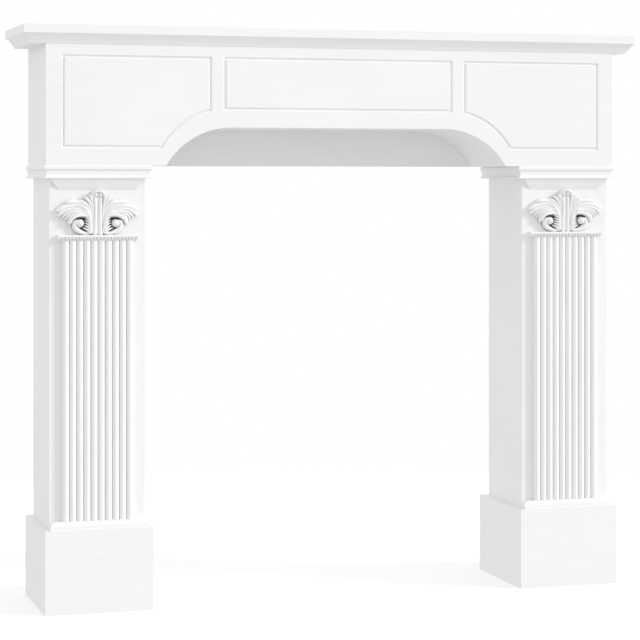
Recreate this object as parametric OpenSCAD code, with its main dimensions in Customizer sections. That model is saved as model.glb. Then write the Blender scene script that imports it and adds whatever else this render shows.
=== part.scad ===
// Fireplace mantelpiece: two reeded pilasters on plinths carry an arched frieze and a moulded shelf.
// Floor at z = 0, front towards -y, wall side towards +y, origin under the middle of the shelf.

/* [Overall] */
// Width of the mantel shelf
shelf_w = 1372; // [1200:1:1800]
// Height from the hearth to the top of the shelf
total_h = 1223; // [1050:1:1400]
// Depth of the shelf from the wall to its front edge
shelf_d = 256; // [220:1:320]

/* [Shelf and crown] */
// Thickness of the shelf board
shelf_t = 18; // [12:1:40]
// Height of the crown moulding
crown_h = 21; // [17:1:36]
// Projection of the crown moulding
crown_p = 17; // [13:1:28]
// Length of flat soffit between crown and frieze end
soffit_w = 31; // [12:1:70]
// Distance from the wall to the back of the casing
back_gap = 24; // [14:1:36]

/* [Frieze] */
// Height of the frieze
frieze_h = 253; // [210:1:320]
// Thickness of the frieze, leg and plinth boards
board_t = 18; // [12:1:24]
// Thickness of the rail behind the arch
rail_t = 12; // [8:1:13]
// Thickness of the bent lining under the arch
lining_t = 9; // [6:1:12]
// Rise of the arch above the foot of the frieze
arch_rise = 81; // [50:1:105]
// Radius of the rounded ends of the arch
arch_r = 167; // [125:1:220]
// Distance from a leg to the spring of the arch
arch_inset = 43.5; // [25:0.5:70]
// Width of the V-shaped panel grooves
groove_w = 7.5; // [4:0.5:10]
// Depth of the panel grooves
groove_t = 3.6; // [2:0.1:5]
// Margin between the frieze ends and the grooves
panel_side = 37; // [20:1:60]
// Margin between the crown and the grooves
panel_top = 26; // [15:1:40]
// Margin between the frieze foot or arch and the grooves
panel_foot = 39; // [20:1:50]
// Width of the strips between the three panels
panel_gap = 32; // [16:1:60]
// Distance from the flat of the arch to the side panels
panel_start = 47; // [20:1:70]
// How far the side panels' arc is moved up from the arch
panel_arc_up = 40.5; // [20:0.5:50]
// How far the side panels' arc is moved out from the arch
panel_arc_out = 10.5; // [0:0.5:20]

/* [Legs] */
// Width of each leg
leg_w = 202; // [165:1:245]
// How far the frieze end stands out past the leg
end_over = 9.5; // [2:0.5:12]
// How far the frieze front stands out past the leg
front_over = 13; // [6:0.5:15]

/* [Plinths] */
// Height of each plinth
plinth_h = 173; // [110:1:240]
// How far a plinth stands out at the sides of its leg
plinth_side = 13.5; // [5:0.5:30]
// How far a plinth stands out in front of its leg
plinth_front = 28; // [20:1:45]

/* [Capitals] */
// Height of each capital
cap_h = 27; // [22:1:45]
// Projection of the capital's foot at the sides of the leg
cap_side = 12; // [10:0.5:22]
// Projection of the capital's foot in front of the leg
cap_front = 15; // [12:0.5:24]
// How far the capital's nose stands out past the frieze
cap_nose = 3; // [1:0.5:6]
// Height of the coved lip that laps up the frieze
cap_lip = 7.5; // [4:0.5:14]
// Hollow of the capital's scotia
scotia = 4; // [2:0.5:5.5]

/* [Pilaster trim] */
// Height of the bed mould under the capital
bed_h = 24; // [14:1:40]
// Projection of the bed mould
bed_p = 12; // [7:0.5:14]
// Run of the splayed ends of the bed mould
bed_run = 20; // [10:1:24]
// Number of reeds
reed_n = 10; // [6:1:14]
// Plain margin at each side of the reeded panel
reed_margin = 25.5; // [15:0.5:40]
// Thickness of the board that carries the reeds
reed_t = 5; // [3:0.5:8]
// Height of the reeded panel's necking
neck_h = 12; // [9:0.5:20]
// How far the necking oversails the reeds
neck_over = 9.5; // [4:0.5:13]
// Radius of the beads along the necking
bead_r = 2.6; // [1.5:0.1:3.4]
// Height of the base moulding
base_h = 17.5; // [10:0.5:26]
// Projection of the base moulding
base_p = 17; // [13:0.5:19.5]

/* [Carved mount] */
// Width of the carved mount
leaf_w = 173; // [140:1:190]
// Height of the carved mount
leaf_h = 94; // [75:1:100]
// Thickness of the plate behind the leaves
leaf_plate = 3; // [2:0.5:5]
// Radius of each volute
volute_r = 17.5; // [12:0.5:21]
// Height of the volutes' wire above the leg
volute_z = 15; // [8:0.5:18]

/* [Hidden] */
wall_y = shelf_d / 2;
shelf_hw = shelf_w / 2;
shelf_z = total_h - shelf_t;
crown_z = shelf_z - crown_h;
sub_hw = shelf_hw - crown_p;
sub_front = shelf_d - crown_p;
frieze_z = crown_z - frieze_h;
frieze_hw = sub_hw - soffit_w;
frieze_front = sub_front;
frieze_back = back_gap - rail_t;
leg_front = frieze_front - front_over;
leg_out = frieze_hw - end_over;
leg_in = leg_out - leg_w;
leg_mid = (leg_out + leg_in) / 2;
cap_z = frieze_z - cap_h;
arch_spring = leg_in - arch_inset;
arch_run = sqrt(2 * arch_r * arch_rise - arch_rise * arch_rise);
arch_flat = arch_spring - arch_run;
arch_top = frieze_z + arch_rise;
arch_cz = arch_top - arch_r;
panel_in = arch_flat + panel_start;
reed_w = leg_w - 2 * reed_margin;
reed_pitch = reed_w / reed_n;
reed_crest = reed_t + reed_pitch / 2;
bed_z = cap_z - bed_h;
leaf_z = bed_z - leaf_h;
reed_z = plinth_h + base_h;
neck_z = leaf_z - neck_h;
neck_w = reed_w + 2 * neck_over;
neck_p = reed_crest + 3;
bead_n = 2 * reed_n + 3;
bead_pitch = neck_w / bead_n;
plinth_d = leg_front + plinth_front;
arc_steps = 10;
groove_line = 0.2;
eps = 1;

paint = "whitesmoke";

// y of a plane that stands a given depth out from the wall
function out(depth) = wall_y - depth;

// Points of an arc that swells (sag > 0) or hollows (sag < 0) between two points, ends included
function bow(a, b, sag) = [
  for (i = [0:arc_steps])
    let (t = i / arc_steps, n = [b[1] - a[1], a[0] - b[0]] / norm(b - a))
    a + (b - a) * t + n * sag * 4 * t * (1 - t)];

// Outline of a moulded block: profile points [projection, height] on its low and high sides
function section(lo, hi, profile, z0, k_lo, k_hi) = concat(
  [for (q = profile) [lo - q[0] * k_lo, z0 + q[1]]],
  [for (i = [len(profile) - 1:-1:0]) [hi + profile[i][0] * k_hi, z0 + profile[i][1]]]);

// Straight prism along x whose section is given in y and z
module prism_x(x0, x1, pts) {
  translate([x0, 0, 0]) rotate([90, 0, 90]) linear_extrude(x1 - x0) polygon(pts);
}

// Straight prism along y whose section is given in x and z
module prism_y(y0, y1, pts) {
  translate([0, y1, 0]) rotate([90, 0, 0]) linear_extrude(y1 - y0) polygon(pts);
}

// Box between two depths out from the wall
module board(x0, x1, d0, d1, z0, z1) {
  translate([x0, out(d1), z0]) cube([x1 - x0, d1 - d0, z1 - z0]);
}

// Moulding that returns round both sides and the front of a block, mitred where the faces meet
module moulded(x0, x1, d0, d1, z0, side, front) {
  intersection() {
    prism_x(x0 - profile_reach(side) - eps, x1 + profile_reach(side) + eps,
      section(out(d1), out(d0), front, z0, 1, 0));
    prism_y(out(d1) - profile_reach(front) - eps, out(d0), section(x0, x1, side, z0, 1, 1));
  }
}

function profile_reach(profile) = max([for (q = profile) q[0]]);

// ---- Shelf and crown ----

module shelf() {
  color(paint) board(-shelf_hw, shelf_hw, 0, shelf_d, shelf_z, total_h);
}

module sub_shelf() {
  color(paint) board(-sub_hw, sub_hw, back_gap, sub_front, crown_z, shelf_z);
}

// A steep band at the foot, then a barely hollowed splay out to the edge of the shelf
function crown_profile() = let (foot = 0.21 * crown_h, step = 0.2 * crown_p) concat(
  [[0.05 * crown_p, 0], [step, foot]],
  bow([step, foot + 0.2], [crown_p, crown_h], -0.5));

module crown_ring() {
  difference() {
    moulded(-sub_hw, sub_hw, back_gap, sub_front, crown_z, crown_profile(), crown_profile());
    board(-sub_hw, sub_hw, back_gap - eps, sub_front, crown_z - eps, shelf_z + eps);
  }
}

// Corners of the crown's front length in plan, cut at 45 degrees
function crown_front_plan() = [
  [-shelf_hw, out(shelf_d)], [shelf_hw, out(shelf_d)], [sub_hw, out(sub_front)], [-sub_hw, out(sub_front)]];

function crown_return_plan() = [
  [shelf_hw, out(shelf_d)], [shelf_hw, out(back_gap)], [sub_hw, out(back_gap)], [sub_hw, out(sub_front)]];

module crown_length(plan) {
  color(paint) intersection() {
    crown_ring();
    translate([0, 0, crown_z]) linear_extrude(crown_h) polygon(plan);
  }
}

module crown_front() {
  crown_length(crown_front_plan());
}

module crown_return_right() {
  crown_length(crown_return_plan());
}

module crown_return_left() {
  mirror([1, 0, 0]) crown_return_right();
}

// ---- Frieze ----

// Space under the arch: a flat crown between two true arcs
module arch_void(d0, d1) {
  intersection() {
    union() {
      board(-arch_flat, arch_flat, d0, d1, frieze_z - eps, arch_top);
      for (s = [-1, 1])
        translate([s * arch_flat, out(d0), arch_cz]) rotate([90, 0, 0])
          cylinder(r = arch_r, h = d1 - d0, $fn = 96);
    }
    board(-arch_spring - eps, arch_spring + eps, d0 - eps, d1 + eps, frieze_z - eps, arch_top + eps);
  }
}

// Half width of a V-groove at a depth behind the frieze's face: it narrows to a hair line at groove_t
function groove_half(d) = groove_line + (groove_w / 2 - groove_line) * (1 - d / groove_t);

// Panel that is larger (s = 1) or smaller (s = -1) than its outline by the groove's half width
module panel_block(x0, x1, z0, z1, s, d0, d1) {
  near = s * groove_half(d0);
  far = s * groove_half(d1);
  face = out(frieze_front);
  intersection() {
    prism_x(x0 - groove_w, x1 + groove_w,
      [[face + d0, z0 - near], [face + d1, z0 - far], [face + d1, z1 + far], [face + d0, z1 + near]]);
    translate([0, 0, z0 - groove_w]) linear_extrude(z1 - z0 + 2 * groove_w)
      polygon([[x0 - near, face + d0], [x1 + near, face + d0], [x1 + far, face + d1], [x0 - far, face + d1]]);
  }
}

// Cone that takes the corner off a panel block along the arch's arc, moved up and out
module panel_cone(r, s, d0, d1) {
  translate([arch_flat + panel_arc_out, out(frieze_front) + d0, arch_cz + panel_arc_up]) rotate([-90, 0, 0])
    cylinder(r1 = r - s * groove_half(d0), r2 = r - s * groove_half(d1), h = d1 - d0, $fn = 96);
}

// V-groove round a rectangle
module groove_rect(x0, x1, z0, z1) {
  difference() {
    panel_block(x0, x1, z0, z1, 1, -eps, groove_t);
    panel_block(x0, x1, z0, z1, -1, -2 * eps, groove_t + eps);
  }
}

// V-groove round the right side panel, whose lower inner corner follows the arch
module groove_side() {
  z0 = frieze_z + panel_foot;
  z1 = crown_z - panel_top;
  x1 = frieze_hw - panel_side;
  difference() {
    panel_block(panel_in, x1, z0, z1, 1, -eps, groove_t);
    panel_cone(arch_r, 1, -3 * eps, groove_t + 3 * eps);
    difference() {
      panel_block(panel_in, x1, z0, z1, -1, -2 * eps, groove_t + eps);
      panel_cone(arch_r, -1, -3 * eps, groove_t + 3 * eps);
    }
  }
}

module frieze_board() {
  color(paint) difference() {
    board(-frieze_hw, frieze_hw, frieze_front - board_t, frieze_front, frieze_z, crown_z);
    arch_void(frieze_front - board_t - eps, frieze_front + eps);
    groove_rect(panel_gap - panel_in, panel_in - panel_gap, arch_top + panel_foot, crown_z - panel_top);
    groove_side();
    mirror([1, 0, 0]) groove_side();
  }
}

module frieze_end_right() {
  color(paint) board(frieze_hw - board_t, frieze_hw, frieze_back, frieze_front - board_t, frieze_z, crown_z);
}

module frieze_end_left() {
  mirror([1, 0, 0]) frieze_end_right();
}

// Bent board that closes the frieze from below, between the front board and the back rail
module arch_lining() {
  hw = frieze_hw - board_t;
  d1 = frieze_front - board_t;
  color(paint) difference() {
    union() {
      board(-hw, hw, back_gap, d1, frieze_z, frieze_z + lining_t);
      intersection() {
        board(-hw, hw, back_gap, d1, frieze_z, arch_top + lining_t);
        union() {
          board(-arch_flat, arch_flat, back_gap, d1, frieze_z, arch_top + lining_t);
          for (s = [-1, 1])
            translate([s * arch_flat, out(back_gap), arch_cz]) rotate([90, 0, 0])
              cylinder(r = arch_r + lining_t, h = d1 - back_gap, $fn = 96);
        }
      }
    }
    arch_void(back_gap - eps, d1 + eps);
  }
}

module back_rail() {
  hw = frieze_hw - board_t;
  color(paint) board(-hw, hw, frieze_back, back_gap, frieze_z, crown_z);
}

// ---- Capitals ----

// Foot fillet, scotia and nose, then a lip that dies into the frieze's face
function capital_profile(foot, nose, face) = let (waist = foot - scotia) concat(
  [[foot, 0], [foot, 0.1 * cap_h]],
  bow([foot - 0.4, 0.12 * cap_h], [waist, 0.28 * cap_h], -0.6),
  bow([waist, 0.46 * cap_h], [nose - 0.3, 0.7 * cap_h], -1),
  [[nose, 0.71 * cap_h], [nose, 0.9 * cap_h]],
  bow([nose - 0.3, 0.92 * cap_h], [face - 0.6, cap_h + cap_lip], -0.8));

module capital_right() {
  front = capital_profile(cap_front, front_over + 0.5 * cap_nose, front_over);
  side = capital_profile(cap_side, end_over + cap_nose, end_over);
  color(paint) difference() {
    moulded(leg_in, leg_out, 0, leg_front, cap_z, side, front);
    board(-frieze_hw, frieze_hw, -eps, frieze_front, frieze_z, crown_z);
    board(frieze_hw - eps, shelf_w, -eps, frieze_back, frieze_z, crown_z);
  }
}

module capital_left() {
  mirror([1, 0, 0]) capital_right();
}

// ---- Legs and plinths ----

// Box of boards round an open middle
module casing(x0, x1, d0, d1, z0, z1) {
  difference() {
    board(x0, x1, d0, d1, z0, z1);
    board(x0 + board_t, x1 - board_t, d0 + board_t, d1 - board_t, z0 - eps, z1 + eps);
  }
}

module leg_right() {
  color(paint) casing(leg_in, leg_out, back_gap, leg_front, plinth_h, cap_z);
}

module leg_left() {
  mirror([1, 0, 0]) leg_right();
}

module plinth_right() {
  x0 = leg_in - plinth_side;
  x1 = leg_out + plinth_side;
  color(paint) union() {
    casing(x0, x1, 0, plinth_d, 0, plinth_h - board_t);
    board(x0, x1, 0, plinth_d, plinth_h - board_t, plinth_h);
  }
}

module plinth_left() {
  mirror([1, 0, 0]) plinth_right();
}

// ---- Pilaster trim, drawn about the middle of a leg with its back on the leg's face ----

module on_leg(side) {
  translate([side * leg_mid, out(leg_front), 0]) children();
}

// Block in front of the leg whose front and ends follow a profile and whose back is flat
module applied(hw, z0, profile, k_end) {
  reach = profile_reach(profile);
  intersection() {
    prism_x(-hw - reach * k_end - eps, hw + reach * k_end + eps, section(0, 0, profile, z0, 1, 0));
    prism_y(-reach - eps, 0, section(-hw, hw, profile, z0, k_end, k_end));
  }
}

module bed_mould(side) {
  color(paint) on_leg(side)
    applied(leg_w / 2 - bed_run - 1, bed_z, [[0.5, 0], [bed_p, bed_h - 1], [bed_p, bed_h]], bed_run / bed_p);
}

// Quarter round that spreads from the foot of the reeds to the sides of the leg
module base_mould(side) {
  k = reed_margin / base_p;
  color(paint) on_leg(side)
    applied(reed_w / 2, plinth_h, concat([[base_p, 0], [base_p, 2]],
      bow([base_p, 3], [reed_crest - 1, base_h], 2.5)), k);
}

// Half-round reeds side by side on a thin board
module reeded_panel(side) {
  h = neck_z - reed_z;
  color(paint) on_leg(side) translate([0, 0, reed_z]) {
    translate([-reed_w / 2, -reed_t, 0]) cube([reed_w, reed_t, h]);
    intersection() {
      translate([-reed_w / 2, -reed_crest - eps, 0]) cube([reed_w, reed_crest + eps, h]);
      for (i = [0:reed_n - 1])
        translate([-reed_w / 2 + (i + 0.5) * reed_pitch, -reed_t, 0])
          cylinder(d = reed_pitch, h = h, $fn = 48);
    }
  }
}

// Splayed necking over the reeds with a row of beads along its top edge
module necking(side) {
  k = neck_over / (neck_p - reed_crest);
  top = neck_h - 2 * bead_r;
  profile = [[reed_crest, 0], [neck_p, top], [neck_p, neck_h - 1], [neck_p - 1, neck_h]];
  color(paint) on_leg(side) {
    applied(reed_w / 2 - reed_crest * k, neck_z, profile, k);
    for (i = [0:bead_n - 1])
      translate([(i + 0.5) * bead_pitch - neck_w / 2, -neck_p, neck_z + top + bead_r])
        sphere(r = bead_r, $fn = 24);
  }
}

// ---- Carved mount: a fan of acanthus leaves over two volutes ----

// Quadratic curve through a start, towards a middle handle, to an end
function curve(a, b, c, t) = a * (1 - t) * (1 - t) + b * 2 * t * (1 - t) + c * t * t;

// One leaf: a blade with a hollowed midrib that swells and tips forward along a curve, [x, z] in the leg's face
module leaf(a, b, c, width, rise, tip) {
  n = 5;
  across = [-1, -0.5, 0, 0.5, 1];
  lift = [0.1, 1, 0.62, 1, 0.1];
  m = len(across);
  rings = [for (i = [0:n])
    let (t = i / n, p = curve(a, b, c, t), q = curve(a, b, c, t + 0.01) - curve(a, b, c, t - 0.01),
      nrm = [-q[1], q[0]] / norm(q), w = width * (0.4 + 1.5 * t - 1.6 * pow(t, 3)), h = rise + tip * t * t)
    [for (j = [0:m]) let (k = min(j, m - 1), s = p + nrm * across[k] * w / 2)
      j < m ? [s[0], -leaf_plate - h * lift[k], s[1]] : [p[0], -0.2, p[1]]]];
  ring = m + 1;
  faces = concat(
    [for (i = [0:n - 1]) for (j = [0:m]) let (k = (j + 1) % ring)
      [i * ring + j, i * ring + k, (i + 1) * ring + k]],
    [for (i = [0:n - 1]) for (j = [0:m]) let (k = (j + 1) % ring)
      [i * ring + j, (i + 1) * ring + k, (i + 1) * ring + j]],
    [[for (j = [m:-1:0]) j]],
    [[for (j = [0:m]) n * ring + j]]);
  polyhedron(points = [for (r = rings) each r], faces = faces);
}

// Rolled wire of a volute with its round eye
module volute() {
  wire = volute_r * 0.3;
  translate([0, -volute_z / 2, 0]) rotate([90, 0, 0]) {
    rotate_extrude($fn = 32) translate([volute_r - wire, 0]) circle(r = wire, $fn = 12);
    translate([0, 0, -volute_z / 2]) cylinder(r = volute_r - wire, h = volute_z / 2, $fn = 32);
    cylinder(r1 = volute_r * 0.32, r2 = volute_r * 0.2, h = volute_z / 2, $fn = 32);
  }
}

// Leaves of one half, from the stem outwards: [start, handle, end, width, rise, tip] in shares of the mount
function leaf_half() = [
  [[0.02, 0.02], [0.05, 0.6], [0.04, 0.96], 0.10, 6, 7],
  [[0.05, 0.05], [0.12, 0.62], [0.14, 0.91], 0.10, 6, 6],
  [[0.08, 0.2], [0.16, 0.66], [0.26, 0.86], 0.11, 6, 5],
  [[0.10, 0.3], [0.26, 0.66], [0.42, 0.8], 0.13, 6, 5],
  [[0.14, 0.42], [0.44, 0.86], [0.76, 0.74], 0.19, 7, 5],
  [[0.2, 0.42], [0.62, 0.76], [0.94, 0.52], 0.2, 7, 5],
  [[0.3, 0.42], [0.66, 0.6], [0.84, 0.34], 0.16, 6, 4]];

module carved_mount(side) {
  hw = leaf_w / 2;
  color(paint) on_leg(side) translate([0, 0, leaf_z]) {
    for (m = [0, 1]) mirror([m, 0, 0]) {
      for (q = leaf_half())
        leaf([q[0][0] * hw, q[0][1] * leaf_h], [q[1][0] * hw, q[1][1] * leaf_h],
          [q[2][0] * hw, q[2][1] * leaf_h], q[3] * leaf_w, q[4], q[5]);
      translate([leaf_w * 0.22, 0, leaf_h * 0.26]) volute();
    }
    translate([-hw * 0.6, -leaf_plate, leaf_h * 0.06]) cube([hw * 1.2, leaf_plate, leaf_h * 0.5]);
    translate([-hw * 0.08, -10, 0]) cube([hw * 0.16, 10, leaf_h * 0.6]);
  }
}

shelf();
sub_shelf();
crown_front();
crown_return_left();
crown_return_right();
frieze_board();
frieze_end_left();
frieze_end_right();
arch_lining();
back_rail();
capital_left();
capital_right();
bed_mould(-1);  // bed_mould_left
bed_mould(1);  // bed_mould_right
carved_mount(-1);  // carved_mount_left
carved_mount(1);  // carved_mount_right
necking(-1);  // necking_left
necking(1);  // necking_right
reeded_panel(-1);  // reeded_panel_left
reeded_panel(1);  // reeded_panel_right
base_mould(-1);  // base_mould_left
base_mould(1);  // base_mould_right
leg_left();
leg_right();
plinth_left();
plinth_right();
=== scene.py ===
"""Looks of a white painted fireplace mantelpiece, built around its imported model.

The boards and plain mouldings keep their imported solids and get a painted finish. The carved mounts and the
beaded neckings are modelled here as surfaces worked out with numpy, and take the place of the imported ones.
"""

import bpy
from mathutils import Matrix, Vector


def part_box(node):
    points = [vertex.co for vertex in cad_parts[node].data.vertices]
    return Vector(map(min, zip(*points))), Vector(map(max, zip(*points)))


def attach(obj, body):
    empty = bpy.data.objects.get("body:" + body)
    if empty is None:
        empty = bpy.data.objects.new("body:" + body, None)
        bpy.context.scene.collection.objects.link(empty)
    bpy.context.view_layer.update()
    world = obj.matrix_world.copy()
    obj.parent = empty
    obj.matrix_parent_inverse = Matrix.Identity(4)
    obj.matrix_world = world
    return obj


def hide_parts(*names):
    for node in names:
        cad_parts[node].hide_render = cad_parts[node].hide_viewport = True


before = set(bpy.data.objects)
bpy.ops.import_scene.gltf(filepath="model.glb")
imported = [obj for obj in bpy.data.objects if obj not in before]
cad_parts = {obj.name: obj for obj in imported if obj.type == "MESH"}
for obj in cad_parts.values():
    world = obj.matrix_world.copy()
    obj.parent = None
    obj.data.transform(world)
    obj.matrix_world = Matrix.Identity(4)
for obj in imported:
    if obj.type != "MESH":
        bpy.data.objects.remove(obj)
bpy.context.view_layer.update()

import logging
import math
from dataclasses import dataclass, field
from enum import Enum
from typing import Any, Sequence, TypeAlias

import bpy
import numpy as np
from mathutils import Vector

log = logging.getLogger("mantelpiece")

MM = 0.001
RIDES_ON = "root"

# How far the paint stands up at full relief, in metres, and its specular level.
PAINT_RELIEF = 0.2 * MM
PAINT_SPECULAR = 0.4

# How far in front of its ground a carving stops getting painted shade, in millimetres.
DEEP_MM = 7.0
# Power of a carved section: 2 is an ellipse, and more is fuller at the shoulders.
SECTION_FULLNESS = 2.4
# What is left at the ends of a rib: its width at the tip and root, and its height at the tip, as shares.
TIP_WIDTH = 0.03
ROOT_WIDTH = 0.3
TIP_HEIGHT = 0.45

Points: TypeAlias = np.ndarray
Value: TypeAlias = "Term | float"
Colour: TypeAlias = tuple[float, float, float, float]
Span: TypeAlias = tuple[float, float]
Spot: TypeAlias = tuple[float, float]

BLACK: Colour = (0.0, 0.0, 0.0, 1.0)
WHITE: Colour = (1.0, 1.0, 1.0, 1.0)


# ---------------------------------------------------------------- shader maths


class Term:
    """A value in a node tree: an output socket whose operators add Math nodes."""

    def __init__(self, graph: "Graph", socket: bpy.types.NodeSocket) -> None:
        """Wraps a socket of a graph."""
        self.graph = graph
        self.socket = socket

    def _math(self, operation: str, *values: Value) -> "Term":
        """Adds a Math node over plain values."""
        return self.graph.node("ShaderNodeMath", {"operation": operation}, dict(enumerate(values)))

    def __add__(self, other: Value) -> "Term":
        """Sum."""
        return self._math("ADD", self, other)

    def __sub__(self, other: Value) -> "Term":
        """Difference."""
        return self._math("SUBTRACT", self, other)

    def __rsub__(self, other: Value) -> "Term":
        """Difference from a number on the left."""
        return self._math("SUBTRACT", other, self)

    def __mul__(self, other: Value) -> "Term":
        """Product."""
        return self._math("MULTIPLY", self, other)

    __radd__ = __add__
    __rmul__ = __mul__

    def ramp(self, low: float, high: float, to_low: float = 0.0, to_high: float = 1.0) -> "Term":
        """Maps a range to another with soft ends.

        Args:
            low: value that becomes to_low.
            high: value that becomes to_high.
            to_low: result at low.
            to_high: result at high.

        Returns:
            The mapped value.
        """
        return self.graph.node(
            "ShaderNodeMapRange",
            {"interpolation_type": "SMOOTHSTEP"},
            {0: self, 1: low, 2: high, 3: to_low, 4: to_high},
        )


class Graph:
    """The node tree of one material, or of the world."""

    def __init__(self, owner: bpy.types.Material | bpy.types.World) -> None:
        """Empties the owner's node tree and starts it anew.

        Args:
            owner: the material or world that the tree belongs to.
        """
        self.owner = owner
        owner.use_nodes = True
        self.tree = owner.node_tree
        self.tree.nodes.clear()

    @classmethod
    def of_material(cls, name: str) -> "Graph":
        """Starts a new material of that name."""
        return cls(bpy.data.materials.new(name))

    def node(
        self, kind: str, settings: dict[str, Any], inputs: dict[Any, Any], output: Any = 0
    ) -> "Term | None":
        """Adds any node.

        Args:
            kind: the node's type name.
            settings: properties that are set before its sockets are used.
            inputs: values or terms by socket name or number.
            output: name or number of the output to return, or None for a node that ends the tree.

        Returns:
            The chosen output.
        """
        made = self.tree.nodes.new(kind)
        for key, value in settings.items():
            setattr(made, key, value)
        for key, value in inputs.items():
            if isinstance(value, Term):
                self.tree.links.new(value.socket, made.inputs[key])
            else:
                made.inputs[key].default_value = value
        return None if output is None else Term(self, made.outputs[output])

    def place(self, scale: Sequence[float]) -> Term:
        """Object coordinates stretched by a scale along each axis."""
        where = self.node("ShaderNodeTexCoord", {}, {}, "Object")
        return self.node("ShaderNodeMapping", {}, {"Vector": where, "Scale": tuple(scale)})

    def noise(self, scale: Sequence[float], detail: float) -> Term:
        """Noise from 0 to 1 whose grain is 1 / scale metres along each axis."""
        inputs = {"Vector": self.place(scale), "Scale": 1.0, "Detail": detail}
        return self.node("ShaderNodeTexNoise", {}, inputs)

    def axis(self, vector: Term, name: str) -> Term:
        """One component of a vector."""
        return self.node("ShaderNodeSeparateXYZ", {}, {"Vector": vector}, name)

    def blend(self, share: Value, low: Any, high: Any) -> Term:
        """Colour that goes from low to high as share goes from 0 to 1."""
        return self.node("ShaderNodeMix", {"data_type": "RGBA"}, {"Factor": share, 6: low, 7: high}, 2)

    def bump(self, height: Term, strength: float) -> Term:
        """Normal of a painted surface whose relief follows height."""
        inputs = {"Strength": strength, "Distance": PAINT_RELIEF, "Height": height}
        return self.node("ShaderNodeBump", {}, inputs, "Normal")

    def surface(self, links: dict[str, Value], constants: dict[str, Any]) -> bpy.types.Material:
        """Ends the tree in a Principled shader.

        Args:
            links: what varies over the surface, by socket.
            constants: what is the same all over, by socket.

        Returns:
            The finished material.
        """
        shader = self.node("ShaderNodeBsdfPrincipled", {}, {**constants, **links}, "BSDF")
        self.node("ShaderNodeOutputMaterial", {}, {"Surface": shader}, None)
        return self.owner


class Grain(Enum):
    """Which way the brush marks of a board run, as scales of noise along each axis, per metre."""

    ALONG_X = (6.0, 260.0, 260.0)
    ALONG_Y = (260.0, 6.0, 260.0)
    ALONG_Z = (260.0, 260.0, 6.0)


@dataclass(frozen=True)
class SatinPaint:
    """Brushed satin white paint on smooth wood, with plain primer on the faces turned to the wall.

    clouds and orange_peel are scales of noise, per metre, and the two shares say how much of each is mixed
    with the brush marks: clouds into the tone, orange peel into the relief. tone is the range of that
    mixture from shade to colour. to_wall is the range from paint to primer of the Y part of a face's
    normal, which is 1 where it faces the wall.
    """

    name: str
    grain: Grain
    colour: Colour = (0.86, 0.86, 0.86, 1.0)
    shade: Colour = (0.835, 0.835, 0.833, 1.0)
    primer: Colour = (0.80, 0.795, 0.78, 1.0)
    clouds: float = 5.0
    cloud_share: float = 0.5
    tone: Span = (0.35, 0.65)
    to_wall: Span = (0.6, 0.95)
    orange_peel: float = 1100.0
    peel_share: float = 0.3
    relief: float = 0.12
    roughness: float = 0.42
    streak_roughness: float = 0.12
    primer_roughness: float = 0.25

    def material(self) -> bpy.types.Material:
        """Builds the paint's node tree.

        Returns:
            The material.
        """
        g = Graph.of_material(self.name)
        streak = g.noise(self.grain.value, detail=2.0)
        cloud = g.noise((self.clouds,) * 3, detail=3.0)
        peel = g.noise((self.orange_peel,) * 3, detail=1.0)
        back = g.axis(g.node("ShaderNodeNewGeometry", {}, {}, "Normal"), "Y").ramp(*self.to_wall)
        tone = (streak * (1 - self.cloud_share) + cloud * self.cloud_share).ramp(*self.tone)
        height = streak * (1 - self.peel_share) + peel * self.peel_share
        rough = (streak - 0.5) * self.streak_roughness + back * self.primer_roughness + self.roughness
        return g.surface(
            {
                "Base Color": g.blend(back, g.blend(tone, self.shade, self.colour), self.primer),
                "Roughness": rough,
                "Normal": g.bump(height, self.relief),
            },
            {"Specular IOR Level": PAINT_SPECULAR},
        )


@dataclass(frozen=True)
class CarvedPaint:
    """Satin white paint on a carving, with painted shade: it goes near black where the carving is cut deep.

    clouds and orange_peel are scales of noise, per metre. The clouds make the edge of the painted shade
    uneven by cloud_edge and the sheen by cloud_roughness. darkening is the range of painted shade from
    colour to deep.
    """

    name: str
    colour: Colour = (0.87, 0.87, 0.87, 1.0)
    # Colour of the painted shade in the deep cuts.
    deep: Colour = (0.07, 0.069, 0.067, 1.0)
    darkening: Span = (0.05, 1.0)
    clouds: float = 40.0
    cloud_edge: float = 0.06
    orange_peel: float = 900.0
    relief: float = 0.1
    roughness: float = 0.36
    cloud_roughness: float = 0.1
    deep_roughness: float = 0.4

    def material(self) -> bpy.types.Material:
        """Builds the paint's node tree.

        Returns:
            The material.
        """
        g = Graph.of_material(self.name)
        # How much painted shade each point of the carving carries.
        painted_shade = g.node("ShaderNodeAttribute", {"attribute_name": "painted_shade"}, {}, "Fac")
        cloud = g.noise((self.clouds,) * 3, detail=3.0) - 0.5
        peel = g.noise((self.orange_peel,) * 3, detail=1.0)
        # Painted shade: the colour goes to deep where the carving is cut deep, standing in for the shade
        # there.
        dark = (painted_shade + cloud * self.cloud_edge).ramp(*self.darkening)
        return g.surface(
            {
                "Base Color": g.blend(dark, self.colour, self.deep),
                "Roughness": painted_shade * self.deep_roughness + cloud * self.cloud_roughness + self.roughness,
                "Normal": g.bump(peel, self.relief),
            },
            {"Specular IOR Level": PAINT_SPECULAR},
        )


# ---------------------------------------------------------------- surfaces


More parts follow.
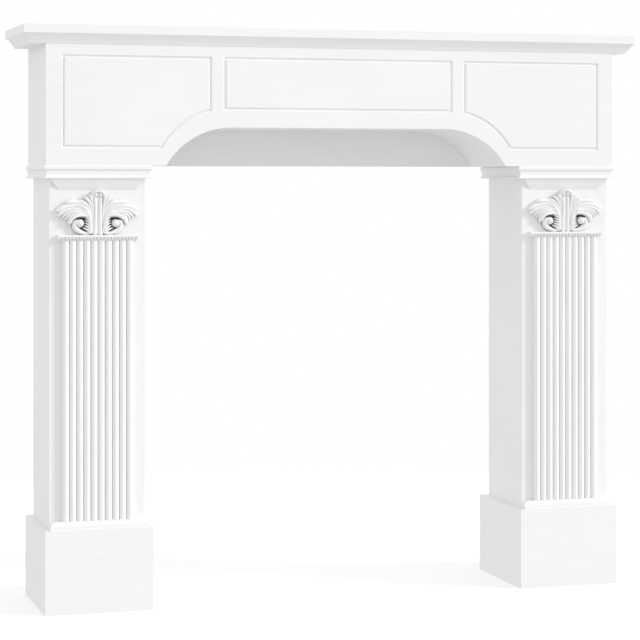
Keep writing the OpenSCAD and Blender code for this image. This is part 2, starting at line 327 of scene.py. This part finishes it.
@dataclass
class Shell:
    """Closed surfaces gathered into one mesh."""

    points: list[Points] = field(default_factory=list)
    faces: list[list[int]] = field(default_factory=list)
    # Painted shade of each point, carried to the mesh as an attribute.
    painted_shade: list[Points] = field(default_factory=list)
    count: int = 0

    def add_tube(self, rings: Points, painted_shade: Points) -> None:
        """Adds a skin through rings of points, with a flat cap at both ends.

        Ring i and ring i + 1 are joined by four-sided faces, and the last point of a ring joins its first.
        The middle ring's spokes, crossed one with the next and summed, point along the skin where the ring
        turns to the right hand. Where they point back, every face is turned round, so that all face outwards.

        Args:
            rings: array of shape (rings, points in a ring, 3).
            painted_shade: how much painted shade each point gets, of shape (rings, points in a ring).
        """
        n, m, _ = rings.shape
        i, j = np.meshgrid(np.arange(n - 1), np.arange(m), indexing="ij")
        k = (j + 1) % m
        quads = np.stack([i * m + j, i * m + k, (i + 1) * m + k, (i + 1) * m + j], -1).reshape(-1, 4)
        ends = [list(range(m - 1, -1, -1)), list(range((n - 1) * m, n * m))]
        flat = rings.reshape(-1, 3)
        middle = rings.mean(1)
        spokes = rings[n // 2] - middle[n // 2]
        along = middle[n // 2 + 1] - middle[n // 2]
        turn = np.cross(spokes, np.roll(spokes, -1, 0)).sum(0) @ along
        quads = quads if turn > 0 else quads[:, ::-1]
        ends = ends if turn > 0 else [e[::-1] for e in ends]
        self.faces += (quads + self.count).tolist() + [[q + self.count for q in e] for e in ends]
        self.points.append(flat)
        self.painted_shade.append(painted_shade.reshape(-1))
        self.count += len(flat)

    def mesh(self, name: str, smooth_below: float) -> bpy.types.Mesh:
        """Makes the mesh.

        Args:
            name: its name.
            smooth_below: edges flatter than this angle, in degrees, are shaded smooth.

        Returns:
            The mesh, with the painted shade as a point attribute.
        """
        mesh = bpy.data.meshes.new(name)
        mesh.from_pydata(np.concatenate(self.points), [], self.faces)
        mesh.attributes.new("painted_shade", "FLOAT", "POINT").data.foreach_set(
            "value", np.concatenate(self.painted_shade).astype(np.float32)
        )
        mesh.polygons.foreach_set("use_smooth", np.ones(len(mesh.polygons), bool))
        mesh.set_sharp_from_angle(angle=math.radians(smooth_below))
        mesh.update()
        return mesh


def through(values: Sequence[float], t: Points) -> Points:
    """Parabola through three values at t = 0, 1/2 and 1."""
    a, b, c = values
    return a * (1 - t) * (1 - 2 * t) + b * 4 * t * (1 - t) + c * t * (2 * t - 1)


def rounded(t: Points, share: float, power: float) -> Points:
    """1 along a strip, falling to 0 over its last share as a quarter circle raised to a power."""
    u = np.clip((t - 1 + share) / share, 0, 1)
    return np.sqrt(np.clip(1 - u * u, 0, 1)) ** power


@dataclass(frozen=True)
class Rib:
    """One carved rib of a leaf, in millimetres from the middle of the mount's foot.

    path holds the four points of a cubic curve, outwards and up. width and rise are given at its start,
    middle and end. tip and root are the shares of its length over which its ends close, and blunt below 1
    makes the tip squarer. hollow dishes it, and deep says how much painted shade it gets low down.
    """

    path: tuple[Spot, ...]
    width: tuple[float, float, float]
    rise: tuple[float, float, float]
    tip: float = 0.2
    root: float = 0.12
    blunt: float = 0.8
    hollow: float = 0.0
    deep: float = 0.35

    def rings(self, steps: int, sides: int) -> tuple[Points, Points]:
        """Carries the rib's section along its cubic curve.

        The curve is (1 - u) ** 3 * p0 + 3 * u * (1 - u) ** 2 * p1 + 3 * u * u * (1 - u) * p2 + u ** 3 * p3,
        and its rings stand closer together at both ends.

        Args:
            steps: rings along the rib.
            sides: points across it.

        Returns:
            Rings as (outwards, forward, up) in millimetres, and each point's painted shade.
        """
        t = 0.5 - 0.5 * np.cos(np.linspace(0, math.pi, steps))
        p, u = np.array(self.path), t[:, None]
        line = (1 - u) ** 3 * p[0] + 3 * u * (1 - u) ** 2 * p[1] + 3 * u * u * (1 - u) * p[2] + u**3 * p[3]
        tip, root = rounded(t, self.tip, self.blunt), rounded(1 - t, self.root, 1.0)
        half = through(self.width, t) / 2 * np.maximum(tip, TIP_WIDTH) * np.maximum(root, ROOT_WIDTH)
        high = through(self.rise, t) * (TIP_HEIGHT + (1 - TIP_HEIGHT) * tip)
        return carry(line, half, high, self.hollow, self.deep, sides)


@dataclass(frozen=True)
class Scroll:
    """The band of the volute: it leaves the foot, sweeps outwards and rolls up round the eye.

    radius, width and rise are given at even turns from start through sweep, in degrees, round the centre.
    tip is the share of its length over which its end closes, to tip_width of its width. Between the given
    values it runs straight, eased over 1 / easing of its length to either side.
    """

    centre: Spot = (38.0, 24.0)
    start: float = -136.0
    sweep: float = 190.0
    radius: tuple[float, ...] = (29.5, 18.6, 14.8, 13.2, 11.6, 9.0, 5.5)
    width: tuple[float, ...] = (6.5, 10.0, 12.0, 12.5, 11.5, 10.0, 6.0)
    rise: tuple[float, ...] = (8.0, 9.5, 11.0, 12.0, 13.0, 14.5, 15.5)
    tip: float = 0.08
    tip_width: float = 0.05
    easing: int = 16
    # How much painted shade the band gets at the ground.
    deep: float = 0.9

    def rings(self, steps: int, sides: int) -> tuple[Points, Points]:
        """Carries the band round the centre while its radius, width and rise run through their lists.

        Args:
            steps: rings along the band.
            sides: points across it.

        Returns:
            Rings as (outwards, forward, up) in millimetres, and each point's painted shade.
        """
        t = np.linspace(0, 1, steps)
        angle = np.radians(self.start + self.sweep * t)
        spoke = np.stack([np.cos(angle), np.sin(angle)], 1)
        line = np.array(self.centre) + spoke * self.eased(self.radius, t)[:, None]
        half = self.eased(self.width, t) / 2 * np.maximum(rounded(t, self.tip, 1.0), self.tip_width)
        return carry(line, half, self.eased(self.rise, t), 0.0, self.deep, sides)

    def eased(self, values: Sequence[float], t: Points) -> Points:
        """Straight lines through evenly spaced values, each point then the mean of those near it.

        Args:
            values: the values, from t = 0 to 1.
            t: where to read them, evenly spaced.

        Returns:
            The eased values at t.
        """
        reach = len(t) // self.easing
        even = np.pad(np.interp(t, np.linspace(0, 1, len(values)), values), reach, "edge")
        return np.convolve(even, np.ones(2 * reach + 1) / (2 * reach + 1), "valid")


@dataclass(frozen=True)
class Eye:
    """The ball in the middle of a volute, round in front and rising to its height, in millimetres.

    fullness below 1 keeps its sides steep, and flat is the angle short of its crown, in radians, where it
    ends in a small flat.
    """

    centre: Spot = (37.8, 24.4)
    radius: float = 8.8
    height: float = 17.2
    fullness: float = 0.8
    flat: float = 0.02
    # How much painted shade the ball gets at the ground.
    deep: float = 0.9

    def rings(self, steps: int, sides: int) -> tuple[Points, Points]:
        """Stacks circles of radius times cos(a) at height times sin(a) ** fullness as a nears 90 degrees.

        Args:
            steps: circles in the stack.
            sides: a quarter of the points round each circle.

        Returns:
            Rings as (outwards, forward, up) in millimetres, and each point's painted shade.
        """
        a = np.linspace(0, math.pi / 2 - self.flat, steps)[:, None]
        b = np.linspace(0, 2 * math.pi, 4 * sides, endpoint=False)[None, :]
        forward = self.height * np.sin(a) ** self.fullness + 0 * b
        x = self.centre[0] + self.radius * np.cos(a) * np.cos(b)
        z = self.centre[1] + self.radius * np.cos(a) * np.sin(b)
        return np.stack([x, forward, z], -1), shaded(forward, self.deep)


def shaded(forward: Points, deep: float) -> Points:
    """Painted shade of a carved surface: deep at the ground, falling evenly to nothing DEEP_MM in front of
    it.
    """
    return np.clip(deep * (1 - forward / DEEP_MM), 0, 1)


def carry(
    line: Points, half: Points, high: Points, hollow: float, deep: float, sides: int
) -> tuple[Points, Points]:
    """Carries a rounded section along a plane line.

    The section stands on the ground and runs from -1 to 1 across. Its height is high times
    (1 - |across| ** SECTION_FULLNESS) ** 0.5, times 1 less a dish of hollow times (1 - across ** 2) ** 2.

    Args:
        line: points of the line, outwards and up.
        half: half its width at each point.
        high: its height at each point.
        hollow: how far the middle is dished, as a share of the height.
        deep: how much painted shade it gets at the ground.
        sides: points across.

    Returns:
        Rings as (outwards, forward, up), and each point's painted shade.
    """
    tangent = np.gradient(line, axis=0)
    tangent /= np.linalg.norm(tangent, axis=1)[:, None]
    normal = np.stack([-tangent[:, 1], tangent[:, 0]], 1)
    s = -np.cos(np.linspace(0, math.pi, sides))
    crest = np.clip(1 - np.abs(s) ** SECTION_FULLNESS, 0, 1) ** 0.5 * (1 - hollow * (1 - s * s) ** 2)
    across = line[:, None, :] + normal[:, None, :] * (half[:, None] * s[None, :])[..., None]
    forward = high[:, None] * crest[None, :]
    return np.stack([across[..., 0], forward, across[..., 1]], -1), shaded(forward, deep)


# The leaves of half a mount. Each row gives a rib's path, then its widths, its rises and how its ends close.
STEM = (
    Rib(((6.4, -1.0), (5.0, 16.0), (4.8, 48.0), (5.8, 80.0)), (13.0, 9.2, 9.6), (10.0, 12.5, 13.0), tip=0.1),
    Rib(((0.6, 0.0), (0.6, 20.0), (0.6, 46.0), (0.6, 80.0)),
        (5.0, 4.0, 5.0), (7.0, 8.5, 9.5), tip=0.1, deep=0.2),
)
CREST = (
    Rib(((5.0, 62.0), (5.6, 72.0), (6.2, 82.0), (5.0, 92.6)),
        (8.0, 11.5, 15.5), (9.0, 12.0, 16.0), 0.26, blunt=0.7, hollow=0.4),
    Rib(((4.4, 80.0), (4.8, 83.0), (5.2, 86.0), (5.0, 90.6)),
        (9.0, 11.0, 10.0), (12.0, 15.5, 16.4), 0.8, 0.3, blunt=0.9),
    Rib(((12.2, 76.0), (13.4, 86.0), (9.0, 91.4), (-0.8, 91.4)),
        (4.0, 5.4, 5.6), (12.0, 17.0, 17.6), 0.1, 0.2, blunt=0.5),
)
SHELL_LOBES = (
    Rib(((10.8, 16.0), (9.2, 44.0), (10.4, 68.0), (17.4, 85.4)), (4.8, 5.4, 8.6), (9.0, 12.0, 17.0)),
    Rib(((11.6, 22.0), (10.0, 46.0), (12.4, 66.0), (20.4, 77.6)), (4.0, 4.6, 5.6), (8.0, 10.5, 12.0)),
    Rib(((12.4, 24.0), (10.8, 50.0), (15.0, 69.0), (28.6, 79.4)), (4.6, 5.6, 9.4), (9.0, 12.5, 17.0)),
    Rib(((13.4, 28.0), (12.0, 50.0), (18.0, 65.0), (31.4, 70.6)), (4.0, 4.6, 5.6), (8.0, 10.5, 11.8)),
    Rib(((14.0, 30.0), (13.0, 54.0), (22.0, 69.0), (41.0, 71.2)), (4.8, 6.0, 9.8), (9.0, 13.0, 16.6)),
)
WING = (
    Rib(((14.0, 30.0), (22.0, 60.0), (46.0, 62.0), (80.0, 46.0)), (14.0, 30.0, 33.0), (6.0, 9.0, 7.0), 0.3),
    Rib(((15.0, 34.0), (16.0, 60.0), (38.0, 76.0), (68.6, 66.0)),
        (5.0, 7.4, 13.0), (10.0, 13.5, 14.0), 0.16, blunt=0.6),
    Rib(((16.0, 36.0), (18.0, 56.0), (42.0, 70.0), (68.6, 60.0)), (5.0, 6.6, 8.0), (10.5, 15.0, 12.5), 0.2),
    Rib(((17.0, 36.0), (24.0, 60.0), (62.0, 71.0), (86.0, 48.4)),
        (5.4, 8.2, 14.5), (10.5, 13.5, 12.0), 0.16, blunt=0.6),
    Rib(((17.4, 35.0), (27.0, 56.0), (64.0, 66.0), (84.4, 38.4)),
        (5.0, 6.8, 10.5), (10.5, 14.5, 11.5), 0.16, blunt=0.6),
    Rib(((17.8, 34.0), (28.0, 53.0), (60.0, 62.0), (76.0, 34.4)), (5.0, 6.4, 9.0), (10.5, 14.0, 11.5), 0.2),
    Rib(((18.0, 33.0), (30.0, 51.0), (56.0, 57.0), (69.6, 31.8)), (4.8, 6.0, 8.0), (10.5, 15.0, 12.0), 0.2),
    Rib(((18.2, 32.0), (30.0, 49.0), (53.0, 53.0), (63.6, 29.4)), (4.6, 5.8, 8.0), (10.5, 14.6, 12.0), 0.2),
    Rib(((14.4, 22.0), (16.0, 42.0), (30.0, 55.0), (51.0, 45.0)), (4.8, 6.0, 6.6), (10.5, 15.0, 13.5), 0.3),
    Rib(((13.6, 18.0), (13.6, 42.0), (22.0, 52.0), (38.0, 51.4)), (4.6, 5.4, 5.0), (10.5, 14.6, 16.4), 0.25),
    Rib(((13.2, 15.0), (13.0, 36.0), (20.0, 45.0), (34.6, 46.4)), (4.4, 5.0, 4.6), (10.5, 14.2, 16.2), 0.25),
)
EYELID = (
    Rib(((18.4, 37.6), (33.0, 44.6), (56.4, 44.2), (61.2, 20.8)),
        (6.0, 9.6, 9.4), (12.0, 17.4, 13.0), 0.1, deep=0.7),
)
TEETH = (
    Rib(((16.8, 2.0), (17.0, 7.0), (21.0, 12.0), (32.6, 15.0)),
        (5.0, 6.0, 4.6), (9.5, 12.0, 11.5), 0.5, deep=0.8),
    Rib(((15.6, 2.0), (15.4, 11.0), (18.6, 17.0), (29.6, 19.6)),
        (5.0, 6.2, 4.8), (9.5, 13.0, 12.5), 0.5, deep=0.8),
    Rib(((14.4, 2.0), (13.8, 14.0), (16.6, 22.6), (28.0, 25.0)),
        (5.0, 6.2, 4.8), (9.5, 13.6, 13.0), 0.5, deep=0.8),
    Rib(((13.2, 2.0), (12.2, 17.0), (15.6, 28.2), (27.6, 30.4)),
        (5.0, 6.2, 4.8), (9.5, 14.0, 13.5), 0.5, deep=0.8),
    Rib(((12.0, 2.4), (11.0, 21.0), (14.6, 33.8), (27.4, 35.6)),
        (5.0, 6.2, 5.0), (9.5, 14.2, 14.0), 0.5, deep=0.8),
)
# A flat pad low under the volute, painted near black: painted shade at the foot of the gaps round the eye.
PAINTED_SHADE_PAD = (
    Rib(((13.0, 8.0), (22.0, 20.0), (34.0, 28.0), (57.0, 25.0)),
        (12.0, 27.0, 9.0), (1.8, 1.8, 1.8), deep=1.7),
)


@dataclass
class CarvedMount:
    """Acanthus mount of one pilaster: a stem, a crest, shell lobes, two wings and two volutes.

    The steps are numbers of rings, along a rib, along the scroll and up the eye. sides is the number of
    points across a rib.
    """

    side: str
    finish: CarvedPaint
    leaves: tuple[tuple[Rib, ...], ...] = (STEM, CREST, SHELL_LOBES, WING, EYELID, TEETH, PAINTED_SHADE_PAD)
    scroll: Scroll = Scroll()
    eye: Eye = Eye()
    steps: int = 34
    scroll_steps: int = 102
    eye_steps: int = 17
    sides: int = 15
    smooth_below: float = 55.0

    def build(self) -> bpy.types.Object:
        """Builds the mount in front of the leg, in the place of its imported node.

        Returns:
            The finished piece.
        """
        node = f"carved_mount_{self.side}"
        low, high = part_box(node)
        foot = np.array([(low.x + high.x) / 2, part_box(f"leg_{self.side}")[0].y, low.z])
        shell = Shell()
        for group in self.leaves:
            for rib in group:
                self.pair(shell, foot, *rib.rings(self.steps, self.sides))
        self.pair(shell, foot, *self.scroll.rings(self.scroll_steps, self.sides))
        self.pair(shell, foot, *self.eye.rings(self.eye_steps, self.sides))
        name = f"acanthus_mount_{self.side}"
        return place_piece(name, shell, self.finish, node, self.smooth_below)

    @staticmethod
    def pair(shell: Shell, foot: Points, rings: Points, painted_shade: Points) -> None:
        """Adds a strip and its mirror image about the mount's middle.

        Args:
            shell: where they are added.
            foot: the middle of the mount's foot on the leg, in metres.
            rings: the strip's rings as (outwards, forward, up) in millimetres.
            painted_shade: the painted shade of each of its points.
        """
        for hand in (1.0, -1.0):
            shell.add_tube(rings * np.array([hand, -1.0, 1.0]) * MM + foot, painted_shade)


@dataclass
class BeadedNecking:
    """Small moulding over the reeds: a square bead, a cove under it and a row of tongues in the cove.

    margin, bevel and setback are millimetres: how far the outer tongues stand in from the ends, the bevel
    on the bead's top edge, and how far the tongues lie behind the bead's face. The rest are shares:
    bar_share of the height is bead. The cove's foot lies cove_depth of the depth behind the bead's face, and
    its hollow takes cove_run of that. A tongue goes from tongue_top of the bead's height down to
    tongue_foot of the whole height. It takes tongue_depth of the depth and tongue_width of the distance
    from one tongue to the next.
    """

    side: str
    finish: CarvedPaint
    tongues: int = 23
    margin: float = 3.0
    bevel: float = 0.6
    setback: float = 0.2
    bar_share: float = 0.34
    cove_depth: float = 0.45
    cove_run: float = 0.55
    tongue_top: float = 0.7
    tongue_foot: float = 0.8
    tongue_depth: float = 0.84
    tongue_width: float = 0.76
    tongue_rings: int = 7
    tongue_sides: int = 12
    bar_rings: int = 24
    cove_points: int = 10
    smooth_below: float = 32.0

    def build(self) -> bpy.types.Object:
        """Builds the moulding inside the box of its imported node.

        Returns:
            The finished piece.
        """
        node = f"necking_{self.side}"
        low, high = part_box(node)
        margin = self.margin * MM
        shell = Shell()
        shell.add_tube(*self.bar(low, high))
        for x in np.linspace(low.x + margin, high.x - margin, self.tongues):
            shell.add_tube(*self.tongue(x, low, high))
        name = f"beaded_necking_{self.side}"
        return place_piece(name, shell, self.finish, node, self.smooth_below)

    def bar(self, low: Vector, high: Vector) -> tuple[Points, Points]:
        """Carries the moulding's profile from end to end.

        The front is straight down the bead to its lip. The cove under it is a quarter of an oval: as a goes
        from 0 to 90 degrees, y = front + depth - depth * cove_run * (1 - sin(a)), where depth is how far
        back its foot lies, and z = lip - (lip - foot) * (1 - cos(a)).

        Args:
            low: lowest corner of the node's box.
            high: highest corner of the node's box.

        Returns:
            Rings in metres and each point's painted shade, which is none here.
        """
        back, front, top, foot = high.y, low.y, high.z, low.z
        bevel = self.bevel * MM
        lip = top - self.bar_share * (top - foot)
        depth = (back - front) * self.cove_depth
        a = np.linspace(0, math.pi / 2, self.cove_points)
        cove_y = front + depth - depth * self.cove_run * (1 - np.sin(a))
        cove_z = lip - (lip - foot) * (1 - np.cos(a))
        y = np.concatenate([[back, front + bevel, front, front], cove_y, [back]])
        z = np.concatenate([[top, top, top - bevel, lip], cove_z, [foot]])
        x = np.linspace(low.x, high.x, self.bar_rings)[:, None]
        rings = np.stack(np.broadcast_arrays(x, y, z), -1)
        return rings, np.zeros(rings.shape[:2])

    def tongue(self, x: float, low: Vector, high: Vector) -> tuple[Points, Points]:
        """Stacks squarish ovals into one tongue, widest at the lip and rounded at its foot.

        Across an oval run cos(b) and sin(b), each with its size raised to squareness, and the oval t of the
        way down is (1 - (shortening * t) ** roundness) ** 0.5 of the full size.

        Args:
            x: where its middle stands.
            low: lowest corner of the node's box.
            high: highest corner of the node's box.

        Returns:
            Rings in metres and each point's painted shade, which is none here.
        """
        squareness, shortening, roundness = 0.6, 0.97, 3.4
        drop = high.z - low.z
        pitch = (high.x - low.x - 2 * self.margin * MM) / (self.tongues - 1)
        half_x, half_y = pitch * self.tongue_width / 2, (high.y - low.y) * self.tongue_depth / 2
        top = self.bar_share * self.tongue_top
        t = np.linspace(0, 1, self.tongue_rings)[:, None]
        b = np.linspace(0, 2 * math.pi, self.tongue_sides, endpoint=False)[None, :]
        swell = np.sqrt(np.clip(1 - (t * shortening) ** roundness, 0, 1))
        wide, deep = (np.sign(f) * np.abs(f) ** squareness for f in (np.cos(b), np.sin(b)))
        xs = x + half_x * swell * wide
        ys = low.y + self.setback * MM + half_y + half_y * swell * deep
        zs = high.z - drop * (top + t * (self.tongue_foot - top)) + 0 * b
        return np.stack([xs, ys, zs], -1), np.zeros(zs.shape)


def place_piece(
    name: str, shell: Shell, finish: CarvedPaint, node: str, smooth_below: float
) -> bpy.types.Object:
    """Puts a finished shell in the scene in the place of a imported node.

    Args:
        name: name of the piece.
        shell: its surfaces, in metres.
        finish: its finish.
        node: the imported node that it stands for.
        smooth_below: edges flatter than this angle, in degrees, are shaded smooth.

    Returns:
        The piece.
    """
    piece = bpy.data.objects.new(name, shell.mesh(name, smooth_below))
    bpy.context.scene.collection.objects.link(piece)
    piece.data.materials.append(finish.material())
    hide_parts(node)
    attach(piece, RIDES_ON)
    log.info("built %s with %d points", name, len(piece.data.vertices))
    return piece


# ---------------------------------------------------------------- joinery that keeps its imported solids


@dataclass
class Joinery:
    """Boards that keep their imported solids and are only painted."""

    paints: dict[Grain, bpy.types.Material]

    def boards(self) -> dict[str, Grain]:
        """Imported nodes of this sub-assembly, with the way their brush marks run."""
        raise NotImplementedError

    def dress(self) -> None:
        """Paints every board along its grain."""
        for node, grain in self.boards().items():
            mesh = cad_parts[node].data
            mesh.materials.clear()
            mesh.materials.append(self.paints[grain])
            log.info("painted %s, brushed %s", node, grain.name.lower())


@dataclass
class MantelTop(Joinery):
    """Shelf, sub-shelf and the crown moulding mitred round it."""

    def boards(self) -> dict[str, Grain]:
        """The shelf and crown, whose returns are brushed from front to back.

        Returns:
            The way each board's brush marks run, by node.
        """
        return {
            "shelf": Grain.ALONG_X,
            "sub_shelf": Grain.ALONG_X,
            "crown_front": Grain.ALONG_X,
            "crown_return_left": Grain.ALONG_Y,
            "crown_return_right": Grain.ALONG_Y,
        }


@dataclass
class Frieze(Joinery):
    """Arched front board, its ends, the lining of the arch and the rail behind it."""

    def boards(self) -> dict[str, Grain]:
        """The boards of the frieze, whose ends are brushed from front to back.

        Returns:
            The way each board's brush marks run, by node.
        """
        return {
            "frieze_board": Grain.ALONG_X,
            "arch_lining": Grain.ALONG_X,
            "back_rail": Grain.ALONG_X,
            "frieze_end_left": Grain.ALONG_Y,
            "frieze_end_right": Grain.ALONG_Y,
        }


@dataclass
class Pilaster(Joinery):
    """One leg with its plinth, reeds, mouldings and carving."""

    side: str
    carving: CarvedPaint

    def boards(self) -> dict[str, Grain]:
        """The leg's boards: uprights brushed up and down, mouldings across.

        Returns:
            The way each board's brush marks run, by node.
        """
        along = {
            "capital": Grain.ALONG_X,
            "bed_mould": Grain.ALONG_X,
            "base_mould": Grain.ALONG_X,
            "reeded_panel": Grain.ALONG_Z,
            "leg": Grain.ALONG_Z,
            "plinth": Grain.ALONG_X,
        }
        return {f"{name}_{self.side}": grain for name, grain in along.items()}

    def build(self) -> None:
        """Paints the boards and builds the carved mount and the beaded necking."""
        self.dress()
        CarvedMount(self.side, self.carving).build()
        BeadedNecking(self.side, self.carving).build()


# ---------------------------------------------------------------- studio


@dataclass
class Studio:
    """Plain pale floor, soft light and the camera.

    Places and distances are metres, lens and sensor millimetres, and angles degrees. The floor goes from
    white to grey over the distances in floor_pool, measured from a line that starts in the middle and runs
    away from the camera. It fades out over those in floor_fade, measured from the middle. above, below and
    left are the strengths of the light from those sides, over the ranges level and leftward of its
    direction. The camera sees the surround at the strength room, and white in the directions past
    backdrop_ahead and backdrop_height.
    """

    eye: tuple[float, float, float] = (-1.3990, -4.598, 0.899)
    turn: float = 16.79
    lens: float = 122.7
    sensor: float = 36.0
    rise: float = -0.2176
    floor_half: float = 3.0
    floor_fade: Span = (1.1, 2.2)
    floor_pool: Span = (0.95, 2.0)
    floor_white: Colour = (0.9, 0.9, 0.9, 1.0)
    floor_grey: Colour = (0.5, 0.5, 0.5, 1.0)
    # Glow of the white part of the floor: painted light that fills in the shadows cast there.
    floor_glow: float = 0.16
    floor_clouds: float = 3.0
    floor_roughness: float = 0.85
    cloud_roughness: float = 0.1
    above: float = 0.93
    below: float = 0.77
    left: float = 0.05
    level: Span = (-0.3, 0.3)
    leftward: Span = (-0.8, -0.2)
    room: float = 0.6
    backdrop_ahead: Span = (0.68, 0.86)
    backdrop_height: Span = (-0.42, -0.25)
    key: float = 1.7
    key_from: tuple[float, float, float] = (0.8246, -0.4202, 0.3788)
    key_spread: float = 12.0

    def camera(self) -> None:
        """Adds a level camera whose frame is shifted down, so that uprights stay upright."""
        data = bpy.data.cameras.new("camera")
        data.lens, data.sensor_width = self.lens, self.sensor
        data.shift_y = self.rise
        cam = bpy.data.objects.new("camera", data)
        cam.location = self.eye
        cam.rotation_euler = (math.pi / 2, 0.0, -math.radians(self.turn))
        bpy.context.scene.collection.objects.link(cam)
        bpy.context.scene.camera = cam

    def floor(self) -> None:
        """Adds the floor at the foot of the plinths. It lights nothing and fades into the surround."""
        h = self.floor_half
        mesh = bpy.data.meshes.new("floor")
        mesh.from_pydata([(-h, -h, 0), (h, -h, 0), (h, h, 0), (-h, h, 0)], [], [(0, 1, 2, 3)])
        mesh.materials.append(self.floor_paint())
        obj = bpy.data.objects.new("floor", mesh)
        bpy.context.scene.collection.objects.link(obj)
        obj.visible_diffuse = obj.visible_glossy = obj.visible_shadow = False

    def floor_paint(self) -> bpy.types.Material:
        """Paints the floor white round the part and behind it, and grey elsewhere.

        Returns:
            The material.
        """
        g = Graph.of_material("pale floor")
        where = g.place((1.0, 1.0, 1.0))
        away = g.node("ShaderNodeVectorMath", {"operation": "LENGTH"}, {"Vector": where}, "Value")
        x, y = g.axis(where, "X"), g.axis(where, "Y")
        beside = x - y * math.tan(math.radians(self.turn))
        before = g.node("ShaderNodeMath", {"operation": "MINIMUM"}, {0: y, 1: 0.0})
        apart = g.node("ShaderNodeMath", {"operation": "SQRT"}, {0: beside * beside + before * before})
        white = apart.ramp(*self.floor_pool, 1.0, 0.0)
        cloud = g.noise((self.floor_clouds,) * 3, detail=2.0)
        return g.surface(
            {
                "Base Color": g.blend(white, self.floor_grey, self.floor_white),
                # Painted light: the white part of the floor glows, which fills in the shadows cast on it.
                "Emission Color": g.blend(white, BLACK, WHITE),
                "Alpha": away.ramp(*self.floor_fade, 1.0, 0.0),
                "Roughness": cloud * self.cloud_roughness + self.floor_roughness,
            },
            {"Emission Strength": self.floor_glow},
        )

    def surround(self) -> None:
        """Lights the scene from all round, a little differently above and below, before a pale backdrop."""
        world = bpy.data.worlds.new("studio")
        bpy.context.scene.world = world
        g = Graph(world)
        way = g.node("ShaderNodeTexCoord", {}, {}, "Generated")
        across, ahead, height = (g.axis(way, name) for name in "XYZ")
        light = height.ramp(*self.level, self.below, self.above)
        light += across.ramp(*self.leftward, self.left, 0.0)
        white = ahead.ramp(*self.backdrop_ahead) * height.ramp(*self.backdrop_height)
        backdrop = white * (1 - self.room) + self.room
        seen = g.node("ShaderNodeLightPath", {}, {}, "Is Camera Ray")
        strength = seen * backdrop + (1 - seen) * light
        sky = g.node("ShaderNodeBackground", {}, {"Color": WHITE, "Strength": strength}, "Background")
        g.node("ShaderNodeOutputWorld", {}, {"Surface": sky}, None)

    def lamp(self) -> None:
        """Adds the soft key light from the front right."""
        data = bpy.data.lights.new("key", "SUN")
        data.energy, data.angle = self.key, math.radians(self.key_spread)
        lamp = bpy.data.objects.new("key", data)
        lamp.rotation_euler = (-Vector(self.key_from)).to_track_quat("-Z", "Y").to_euler()
        bpy.context.scene.collection.objects.link(lamp)

    def build(self) -> None:
        """Builds the floor, the light and the camera."""
        self.floor()
        self.surround()
        self.lamp()
        self.camera()
        bpy.context.scene.view_settings.view_transform = "Standard"


def main() -> None:
    """Builds and dresses every sub-assembly in order."""
    logging.basicConfig(level=logging.INFO, format="%(message)s")
    paints = {grain: SatinPaint(f"white paint {grain.name.lower()}", grain).material() for grain in Grain}
    MantelTop(paints).dress()
    Frieze(paints).dress()
    for side in ("left", "right"):
        Pilaster(paints, side, CarvedPaint(f"carving paint {side}")).build()
    Studio().build()


if __name__ == "__main__":
    main()
